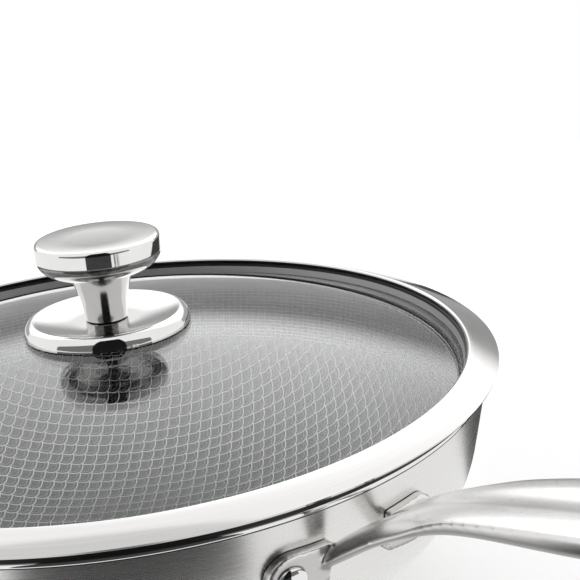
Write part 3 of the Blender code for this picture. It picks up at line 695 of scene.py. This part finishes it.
points, faces = [], []
ridge(points, faces, [(across / 1000, up / 1000) for across, up in SCALE_EDGE_MM], RIDGE_WIDTH)
for across, up in BEADS_MM:
    bead(points, faces, across / 1000, up / 1000)
scale = mesh_object("scale", points, faces)
places = []
for row in range(-ROWS, ROWS + 1):
    for column in range(-COLUMNS, COLUMNS + 1):
        along, over = column + SCALE_START[0], row + SCALE_START[1]
        across = along * SCALE_ACROSS[0] + over * SCALE_UP[0]
        up = along * SCALE_ACROSS[1] + over * SCALE_UP[1]
        bend = ROW_BEND * (across - ROW_CREST) ** 2
        if math.hypot(across + bend * SCALE_UP[0], up + bend * SCALE_UP[1]) < FLOOR_REACH + 0.008:
            places.append((across, up, 0.0))
bowl_wrap = wrapping_tree("bowl_wrap")
wrap("scale_relief", places, [0.0] * len(places), scale, bowl_wrap, {
    "Profile": profile, "Row Step": (*SCALE_UP, 0.0), "Row Bend": ROW_BEND, "Row Crest": ROW_CREST,
    "Turn": RELIEF_TURN, "Reach": FLOOR_REACH})

points, faces = [], []
line_turn = 2 * math.pi / WALL_LINES
ridge(points, faces, [(mix(FLOOR_REACH, WALL_REACH, at / 8), 0.0) for at in range(9)], RIDGE_WIDTH)
for rung in range(int((WALL_REACH - FLOOR_REACH) / RUNG_PITCH) + 1):
    at = FLOOR_REACH + rung * RUNG_PITCH
    ridge(points, faces, [(at, 0.0), (at, at * line_turn)], RUNG_WIDTH)
grille = mesh_object("wall_line", points, faces)
turns = [line_turn * at for at in range(WALL_LINES)]
wrap("wall_relief", [(0.0, 0.0, 0.0)] * WALL_LINES, turns, grille, bowl_wrap, {
    "Profile": profile, "Row Bend": 0.0, "Turn": 0.0, "Reach": 1.0})
bpy.data.objects.remove(profile, do_unlink=True)


# Lid glass: clear tempered soda-lime glass, 4 mm thick, bent to a shallow dome.
# It is drilled in the middle for the knob's screw, and its edge sits in the rolled band.

BAND_RADIUS = 0.1500
BAND_INNER_RADIUS = 0.1379
GLASS_RADIUS = 0.1402
GLASS_EDGE_RISE = 0.00045
GLASS_CROWN_RADIUS = 0.4326
GLASS_THICKNESS = 0.0040
GLASS_HOLE_RADIUS = 0.0052

# Clear glass: it mirrors the knob and the softbox, bends the view of the relief, and has a hint of green.
glass_numbers = {"IOR": 1.5, "Transmission_Weight": 1.0, "Roughness": 0.0}
tempered_glass, tree, shader = finish("tempered_soda_lime_glass", **glass_numbers)
dress(tree, shader, cloudy(tree, 83.3, 2.0), ("#F8FBFA", "#FDFEFE"))


def glass_top(radius):
    """Height of the glass's upper face at a radius, on a sphere through its upper edge."""
    crown = GLASS_CROWN_RADIUS
    rise = math.sqrt(crown ** 2 - radius ** 2) - math.sqrt(crown ** 2 - GLASS_RADIUS ** 2)
    return BOWL_HEIGHT + GLASS_EDGE_RISE + rise


GLASS_APEX = glass_top(0.0)


def glass_line(lift, first, last, steps):
    """Points along the glass's upper face, moved up or down by a lift."""
    radii = [mix(first, last, step / steps) for step in range(steps + 1)]
    return [(radius, glass_top(radius) + lift) for radius in radii]


over, under = (glass_line(lift, GLASS_HOLE_RADIUS, GLASS_RADIUS, 40) for lift in (0.0, -GLASS_THICKNESS))
glass = turned("glass_dome", over + under[::-1])
place_in(glass, "lid", "tempered_glass", tempered_glass, "lid_glass")


# Lid rim: stainless steel strip, rolled round the glass's edge. It rests on the wok's lip.
# Only its outer face is bright: the foot of its inner face is bead blasted, and the hollow above that and the
# recess over the lip are painted near black, as painted shade.

BAND_CREST_INSET = 0.0012
BAND_CREST_HEIGHT = 0.0078
BAND_EDGE_HEIGHT = 0.0039
BAND_EDGE_DROP = 0.0012
BAND_SEAT_OVERHANG = 0.0011
BAND_LIP_WIDTH = 0.0013
BAND_LIP_HEIGHT = 0.0020
BAND_ROLL_GAP = 0.0013
BAND_BLASTED_SHARE = 0.76
BAND_SHEET = 0.0007
BAND_HOLD = 0.0034
BAND_FALL_POWER = 1.15

# Steel with painted shade: a near-black grey painted in the hollow inside the band's crest and in the recess
# over the wok's lip, where shade falls, making the dark line and the dark gap.
painted_shade_steel = metal("steel_with_painted_shade_in_the_roll", ("#2C2C2C", "#424242"), (0.35, 0.55),
                         round_brushing, 0.4)

# Bright rolled steel: smooth broad reflections, a shade under the knob's polish, with the marks of the rolls.
rim_steel = metal("bright_rolled_stainless_steel", ("#C4C3C2", "#D2D1D0"), (0.06, 0.12), round_brushing, 0.5)

# Bead-blasted steel: an even mid grey that reflects nothing clearly, next to the glass.
blasted_steel = metal("bead_blasted_stainless_steel", ("#AAAAA9", "#BABAB9"), (0.46, 0.58),
                      cloudy, 0.667, 2.0)

seat = BOWL_HEIGHT + GAP
crest = seat + BAND_CREST_HEIGHT
edge = seat + BAND_EDGE_HEIGHT
crest_radius = BAND_INNER_RADIUS + BAND_CREST_INSET
outline = arc((crest_radius, crest - BAND_CREST_INSET), BAND_CREST_INSET, math.pi, math.radians(75), 10)
for share in (0.15, 0.3, 0.45, 0.6, 0.72, 0.85, 0.93):
    outline.append((mix(crest_radius, BAND_RADIUS, share), mix(crest, edge, share ** BAND_FALL_POWER)))
outline += [(BAND_RADIUS, edge), (BAND_RADIUS - BAND_EDGE_DROP / 4, edge - BAND_EDGE_DROP * 0.6)]
outline.append((BAND_RADIUS - BAND_EDGE_DROP, edge - BAND_EDGE_DROP))
seat_outer = RIM_RADIUS + BAND_SEAT_OVERHANG
outline += [(seat_outer + GAP, edge - BAND_EDGE_DROP - GAP), (seat_outer, seat)]
slot_wall = GLASS_RADIUS + GAP
skirt = slot_wall + BAND_SHEET
hold = GLASS_RADIUS - BAND_HOLD
skirt_bottom = glass_top(GLASS_RADIUS) - GLASS_THICKNESS - GAP - BAND_SHEET
outline.append((wall_radius(BOWL_HEIGHT, WALL) - 2 * LIP_ROUNDING, seat))
outline += [(skirt, skirt_bottom + BAND_SHEET), (skirt - BAND_SHEET, skirt_bottom)]
outline.append((hold, glass_top(hold) - GLASS_THICKNESS - GAP - BAND_SHEET))
outline += glass_line(-GLASS_THICKNESS - GAP, hold, slot_wall, 2)
outline += glass_line(GAP, slot_wall, BAND_INNER_RADIUS - BAND_LIP_WIDTH, 2)
ramp_bottom = glass_top(BAND_INNER_RADIUS) + BAND_LIP_HEIGHT / 4
ramp_top = crest - BAND_CREST_INSET - BAND_ROLL_GAP
for share in (0.0, BAND_BLASTED_SHARE, 1.0):
    radius = mix(BAND_INNER_RADIUS - BAND_LIP_WIDTH, BAND_INNER_RADIUS - GAP, share)
    outline.append((radius, mix(ramp_bottom, ramp_top, share)))
outline.append((BAND_INNER_RADIUS + GAP, ramp_top + GAP))
blasted_top = mix(ramp_bottom, ramp_top, BAND_BLASTED_SHARE)
band = turned("rolled_rim", outline, 320)
place_in(band, "lid", "polished_steel", rim_steel, "lid_rim_band")
hollow_radius = BAND_INNER_RADIUS + BAND_CREST_INSET / 4
hollow_top = crest - BAND_CREST_INSET * 0.6
recess_radius = RIM_RADIUS - LIP_ROUNDING
recess_top = edge - BAND_EDGE_DROP + GAP / 10
# Painted shade: the faces of the rolled hollow and of the recess over the lip get the near-black steel.
paint(band, painted_shade_steel, lambda out, height, up: (
    height < hollow_top if out < hollow_radius else out > recess_radius and height < recess_top))
paint(band, blasted_steel, lambda out, height, up: out < crest_radius and height < blasted_top)


# Knob: turned from solid stainless steel bar, a flat cap over a trumpet stem, bored from below for its screw.
# It is mirror polished all round, and the cap's top is finished with fine turned rings.

KNOB_HEIGHT = 0.0326
KNOB_CAP_RADIUS = 0.0241
KNOB_CAP_BAND = 0.0063
KNOB_CAP_ROUNDING = 0.0017
KNOB_STEM_RADIUS = 0.0081
KNOB_NECK_RADIUS = 0.0130
KNOB_FLARE_DROP = 0.0076
KNOB_STEM_SWELL = 0.0018
KNOB_STEPS = 16
GASKET_THICKNESS = 0.0005
PLATE_SHEET = 0.0010
SCREW_RADIUS = 0.0025
SCREW_DEPTH = 0.0110
SHANK_HOLE = SCREW_RADIUS + GAP
GASKET_BOTTOM = GLASS_APEX + GAP
PLATE_BOTTOM = GASKET_BOTTOM + GASKET_THICKNESS + GAP
KNOB_BOTTOM = PLATE_BOTTOM + PLATE_SHEET + GAP

# Satin-faced steel: reflections on the cap's top and in the dish blur to one soft tone, darker than polish.
faced_steel = metal("satin_faced_stainless_steel", ("#C2C1C0", "#CFCECD"), (0.10, 0.18), round_brushing, 0.25)

top = KNOB_BOTTOM + KNOB_HEIGHT
band_low = top - KNOB_CAP_BAND
neck = band_low - KNOB_FLARE_DROP
bore_top = KNOB_BOTTOM + SCREW_DEPTH + 2 * GAP
outline = [(0.0, bore_top), (SHANK_HOLE, bore_top), (SHANK_HOLE, KNOB_BOTTOM)]
outline += [(KNOB_STEM_RADIUS - GAP, KNOB_BOTTOM), (KNOB_STEM_RADIUS, KNOB_BOTTOM + GAP)]
for number in range(1, KNOB_STEPS):
    share = number / KNOB_STEPS
    swell = KNOB_STEM_SWELL * share + (KNOB_NECK_RADIUS - KNOB_STEM_RADIUS - KNOB_STEM_SWELL) * share ** 3
    outline.append((KNOB_STEM_RADIUS + swell, mix(KNOB_BOTTOM, neck, share)))
reach = KNOB_CAP_RADIUS - KNOB_NECK_RADIUS
outline += arc((KNOB_NECK_RADIUS, band_low), reach, -math.pi / 2, 0.0, KNOB_STEPS, KNOB_FLARE_DROP)
rounding = (KNOB_CAP_RADIUS - KNOB_CAP_ROUNDING, top - KNOB_CAP_ROUNDING)
outline += arc(rounding, KNOB_CAP_ROUNDING, 0.0, math.pi / 2, 9)
outline += [(KNOB_CAP_RADIUS / 2, top - GAP), (0.0, top - GAP)]
knob = turned("turned_knob", outline, 128)
place_in(knob, "lid", "polished_steel", polished_steel, "knob")
paint(knob, faced_steel, lambda out, height, up: height > top - 2 * GAP and up > 0.9)


# Knob plate: stainless steel sheet, pressed to a shallow dish whose edge is rolled down to the glass.
# The rolled edge is mirror polished, and the dish has the same turned satin face as the knob's cap.

PLATE_RADIUS = 0.0324
PLATE_CREST_INSET = 0.0038
PLATE_CREST_HEIGHT = 0.0022
GASKET_RADIUS = 0.0120
DISH_STEPS = 16
ROLL_STEPS = 12

low = glass_top(PLATE_RADIUS) + GAP
flat_top = PLATE_BOTTOM + PLATE_SHEET
crest = flat_top + PLATE_CREST_HEIGHT
crest_radius = PLATE_RADIUS - PLATE_CREST_INSET
dish = [(SHANK_HOLE, flat_top)]
for number in range(DISH_STEPS + 1):
    share = number / DISH_STEPS
    dish.append((mix(GASKET_RADIUS, crest_radius, share), mix(flat_top, crest, share ** 2)))
roll = arc((crest_radius, low), PLATE_CREST_INSET, math.pi / 2, 0.0, ROLL_STEPS, crest - low)
outline = dish + roll[1:] + [(PLATE_RADIUS - PLATE_SHEET, low), (crest_radius, crest - PLATE_SHEET)]
outline += [(radius - PLATE_SHEET / 3, height - PLATE_SHEET) for radius, height in dish[-2:0:-1]]
outline.append((SHANK_HOLE, PLATE_BOTTOM))
plate = turned("knob_dish", outline, 160)
place_in(plate, "lid", "polished_steel", polished_steel, "knob_plate")
paint(plate, faced_steel, lambda out, height, up: out < crest_radius and up > 0.9)


# Seals of the knob: a ring above the glass and a bush below it, moulded in black silicone rubber.
# The bush's sleeve lines the hole, so that no steel touches the glass.

BUSH_FLANGE_RADIUS = 0.0090
BUSH_FLANGE_THICKNESS = 0.0012
BUSH_WALL = 0.0016
BUSH_BEVEL = 0.0002
GASKET_BEVEL = 0.0001

# Silicone rubber: nearly black and matt, with a bloom of fine dust.
silicone, tree, shader = finish("black_silicone_rubber", Roughness=0.6)
dress(tree, shader, cloudy(tree, 1.43, 4.0), ("#141414", "#242424"), relief=0.2)


def ring_outline(inner, outer, bottom, thick, bevel):
    """Section of a flat ring with small bevels on its outer edge."""
    top = bottom + thick
    points = [(inner, bottom), (outer - bevel, bottom), (outer, bottom + bevel)]
    return points + [(outer, top - bevel), (outer - bevel, top), (inner, top)]


outline = ring_outline(SHANK_HOLE, GASKET_RADIUS, GASKET_BOTTOM, GASKET_THICKNESS, GASKET_BEVEL)
gasket = turned("silicone_ring", outline, 96)
place_in(gasket, "lid", "silicone", silicone, "plate_gasket")
bush_bottom = GLASS_APEX - GLASS_THICKNESS - GAP - BUSH_FLANGE_THICKNESS
sleeve = min(SHANK_HOLE + BUSH_WALL, GLASS_HOLE_RADIUS - GAP)
sleeve_top = glass_top(GLASS_HOLE_RADIUS) - GAP
flange_top = glass_top(BUSH_FLANGE_RADIUS) - GLASS_THICKNESS - GAP
outline = [(SHANK_HOLE, bush_bottom), (BUSH_FLANGE_RADIUS - BUSH_BEVEL, bush_bottom)]
outline += [(BUSH_FLANGE_RADIUS, bush_bottom + BUSH_BEVEL), (BUSH_FLANGE_RADIUS, flange_top)]
outline += [(sleeve, flange_top), (sleeve, sleeve_top), (SHANK_HOLE, sleeve_top)]
bush = turned("silicone_bush", outline, 96)
place_in(bush, "lid", "silicone", silicone, "glass_bush")


# Fixing of the knob: a stamped steel washer under the bush, and a pan-head screw with a cross slot.
# Both are zinc plated. The screw keeps its CAD form, which has the slot.

WASHER_RADIUS = 0.0080
WASHER_THICKNESS = 0.0010
WASHER_BEVEL = 0.0002

# Zinc plating: a bluish, slightly cloudy grey, duller than the stainless steel round it.
plated_steel = metal("zinc_plated_steel", ("#B4B7BA", "#CDD0D2"), (0.18, 0.34), cloudy, 2.0, 3.0)

washer_bottom = bush_bottom - GAP - WASHER_THICKNESS
outline = ring_outline(SHANK_HOLE, WASHER_RADIUS, washer_bottom, WASHER_THICKNESS, WASHER_BEVEL)
washer = turned("stamped_washer", outline, 96)
place_in(washer, "lid", "polished_steel", plated_steel, "screw_washer")
form = bmesh.new()
form.from_mesh(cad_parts["knob_screw"].data)
bmesh.ops.remove_doubles(form, verts=form.verts, dist=1e-6)
bmesh.ops.recalc_face_normals(form, faces=form.faces)
screw = mesh_object("pan_head_screw")
form.to_mesh(screw.data)
form.free()
smooth(screw, 40.0)
place_in(screw, "lid", "polished_steel", plated_steel, "knob_screw")


# Studio: white paper, a camera at the photograph's angle, and three large lamps that light the wok softly.
# Cards and a softbox's cloth stand round the wok for steel and glass to mirror, and nothing else shows them.

CAMERA_DISTANCE = 0.53706
CAMERA_RISE = math.radians(19.95)
CAMERA_PAN = math.radians(-7.81)
CAMERA_TILT = math.radians(2.37)
CAMERA_ROLL = math.radians(7.89)
CAMERA_ABOVE_RIM = 0.0038
CAMERA_LENS = 83.805
CAMERA_NEAR = 0.01
FLOOR_HALF = 6
CARD_LIFT = 0.001
FLAG_TURNS = (-16.0, 29.0)
FLAG_NEAR = 0.19
FLAG_FAR = 0.90
FLAG_TOP = 2.30
SIDE_FLAG = ((0.15, -0.04), (0.30, -0.04), (1.35, -1.50), (0.30, -1.50))
PANEL_NEAR = 1.00
PANEL_HALF = 2.20
PANEL_TOP = 0.90
SOFTBOX_HALF = 1.80
SOFTBOX_FAR = 1.50
SOFTBOX_NEAR = 0.60
SOFTBOX_LOW = 0.45
SOFTBOX_FULL = 0.68
SOFTBOX_HIGH = 1.90
BACKDROP_FAR = 1.51

scene = bpy.context.scene
scene.view_settings.view_transform = "Standard"

camera_at = Vector((0.0, -math.cos(CAMERA_RISE), math.sin(CAMERA_RISE))) * CAMERA_DISTANCE
ahead = (-camera_at).normalized()
right = Vector((1.0, 0.0, 0.0))
above = right.cross(ahead)
aim = Matrix.Rotation(CAMERA_PAN, 3, above) @ Matrix.Rotation(CAMERA_TILT, 3, right)
ahead, right, above = aim @ ahead, aim @ right, aim @ above
swing = Matrix.Rotation(RELIEF_TURN, 3, "Z")
roll = Matrix.Rotation(CAMERA_ROLL, 3, ahead)
right, above, ahead = swing @ roll @ right, swing @ roll @ above, swing @ ahead
camera_at = swing @ camera_at + Vector((0.0, 0.0, BOWL_HEIGHT + CAMERA_ABOVE_RIM))
camera = new_object("camera", bpy.data.cameras.new("camera"))
camera.data.lens = CAMERA_LENS
camera.data.clip_start = CAMERA_NEAR
rows = [(right[axis], above[axis], -ahead[axis], camera_at[axis]) for axis in range(3)]
camera.matrix_world = Matrix((*rows, (0.0, 0.0, 0.0, 1.0)))
scene.camera = camera

corners = [(x * FLOOR_HALF, y * FLOOR_HALF, 0) for x, y in ((-1, -1), (1, -1), (1, 1), (-1, 1))]
floor = mesh_object("floor", corners, [(0, 1, 2, 3)])

# White paper: it keeps the wok's soft shadow close by, and is pure white further out and in every reflection.
floor_look, tree, shader = finish("matt_white_paper", Roughness=0.85)
dress(tree, shader, cloudy(tree, 3.33, 2.0), ("#E6E6E6", "#F2F2F2"))
path = add(tree, "ShaderNodeLightPath").outputs
away = add(tree, "ShaderNodeVectorMath", {0: here(tree)}, operation="LENGTH").outputs["Value"]
away = spread(tree, away, 0.25, 1.0, 0.3, 0.9, "SMOOTHSTEP")
near = spread(tree, away, 0.0, 0.65, 1.0, 0.25)
share = calculate(tree, "MULTIPLY", path["Is Camera Ray"], away)
share = calculate(tree, "MAXIMUM", share, path["Is Glossy Ray"])
share = calculate(tree, "MAXIMUM", share, path["Is Transmission Ray"])
bright = calculate(tree, "MULTIPLY_ADD", path["Is Camera Ray"], near, 1.0)
white = add(tree, "ShaderNodeEmission", {"Strength": bright}).outputs["Emission"]
both = add(tree, "ShaderNodeMixShader", {0: share, 1: shader.outputs["BSDF"], 2: white}).outputs["Shader"]
tree.links.new(both, tree.nodes["Material Output"].inputs["Surface"])
floor.data.materials.append(floor_look)

world = bpy.data.worlds.new("studio")
scene.world = world
world.use_nodes = True
tree = world.node_tree
tree.nodes.clear()
path = add(tree, "ShaderNodeLightPath").outputs
seen = calculate(tree, "MAXIMUM", path["Is Camera Ray"], path["Is Glossy Ray"])
seen = calculate(tree, "MAXIMUM", seen, path["Is Transmission Ray"])
sky = {"Color": (1.0, 1.0, 1.0, 1.0), "Strength": spread(tree, seen, 0.55, 1.0)}
sky = add(tree, "ShaderNodeBackground", sky).outputs["Background"]
add(tree, "ShaderNodeOutputWorld", {"Surface": sky})


def from_camera(across, towards, height):
    """A place by metres to the camera's right, towards the camera, and up."""
    flat = Vector((-ahead.x, -ahead.y, 0.0)).normalized()
    side = Vector((right.x, right.y, 0.0)).normalized()
    return side * across + flat * towards + Vector((0.0, 0.0, height))


def fan(distance, height):
    """Both ends of a flag's edge, at a distance from the wok and a height."""
    turns = [math.radians(turn) for turn in FLAG_TURNS]
    return [from_camera(distance * math.sin(turn), distance * math.cos(turn), height) for turn in turns]


def level_edge(half, towards, height):
    """Both ends of a level edge, square to the camera's direction."""
    return [from_camera(-half, towards, height), from_camera(half, towards, height)]


def card(name, first, second, look):
    """A flat card between two edges, which only gloss and glass show."""
    made = mesh_object(name, first + second[::-1], [(0, 1, 2, 3)])
    made.data.materials.append(look)
    made.visible_camera = False
    made.visible_diffuse = False
    made.visible_shadow = False


def shine(tree, strength):
    """Makes a material bright by itself, as lit card or cloth looks in a reflection."""
    lit = add(tree, "ShaderNodeEmission", {"Strength": strength}).outputs["Emission"]
    tree.links.new(lit, tree.nodes["Material Output"].inputs["Surface"])


def card_colour(name, low, high):
    """Evenly lit card, whose brightness wanders a little between two strengths."""
    look, tree, shader = finish(name)
    shine(tree, spread(tree, cloudy(tree, 167, 2.0), low, high))
    return look


for label, place, width, depth, power in (
        ("key_softbox", (0.35, -1.1, 1.0), 1.4, 1.0, 11.0),
        ("left_softbox", (-1.2, 0.2, 0.8), 1.0, 1.0, 11.0),
        ("right_softbox", (1.2, 0.3, 0.8), 1.0, 1.0, 3.0)):
    data = bpy.data.lights.new(label, "AREA")
    data.shape = "RECTANGLE"
    data.size = width
    data.size_y = depth
    data.energy = power
    lamp = new_object(label, data)
    lamp.visible_glossy = False
    lamp.visible_transmission = False
    lamp.location = from_camera(*place)
    lamp.rotation_euler = (Vector((0.0, 0.0, 0.08)) - lamp.location).to_track_quat("-Z", "Y").to_euler()

# Flock: the black bars on the knob's cap, stem and plate.
black_card = card_colour("black_flock_card", 0.006, 0.014)
card("upright_flag", fan(FLAG_FAR, 0.0), fan(FLAG_FAR, FLAG_TOP), black_card)

# Dark grey card on the floor: the darker strips on the bowl's wall and under the knob's cap.
dark_card = card_colour("dark_grey_card", 0.04, 0.07)
card("floor_flag", fan(FLAG_NEAR, CARD_LIFT), fan(FLAG_FAR, CARD_LIFT), dark_card)
side = [from_camera(*place, CARD_LIFT) for place in SIDE_FLAG]
card("side_flag", side[:2], side[:1:-1], dark_card)

# Mid grey card behind the camera: it keeps the front of the bowl and the handle's side below white.
shade_card = card_colour("mid_grey_card", 0.16, 0.22)
edges = [level_edge(PANEL_HALF, PANEL_NEAR, height) for height in (0.0, PANEL_TOP)]
card("front_panel", *edges, shade_card)

# Light grey card low behind the wok: it keeps the knob's cap, the dish and the lid's band below white.
grey_card = card_colour("light_grey_card", 0.38, 0.50)
edges = [level_edge(SOFTBOX_HALF, -BACKDROP_FAR, height) for height in (0.0, SOFTBOX_LOW)]
card("upright_backdrop", *edges, grey_card)

# Cloth of the back softbox: the pale veil over the glass, brightest in its middle and fading at its foot.
cloth, tree, shader = finish("softbox_cloth")
middle = from_camera(0.15, -1.22, 0.90)
offset = add(tree, "ShaderNodeVectorMath", {0: here(tree), 1: middle}, operation="DISTANCE").outputs["Value"]
glow = spread(tree, offset, 1.75, 1.0, 0.15, 1.05, "SMOOTHSTEP")
height = add(tree, "ShaderNodeSeparateXYZ", {"Vector": here(tree)}).outputs["Z"]
fade = spread(tree, height, 0.0, 1.0, SOFTBOX_LOW, SOFTBOX_FULL, "SMOOTHSTEP")
shine(tree, calculate(tree, "MULTIPLY_ADD", glow, fade, 0.45))
low_edge = level_edge(SOFTBOX_HALF, -SOFTBOX_FAR, SOFTBOX_LOW)
card("back_softbox", low_edge, level_edge(SOFTBOX_HALF, -SOFTBOX_NEAR, SOFTBOX_HIGH), cloth)
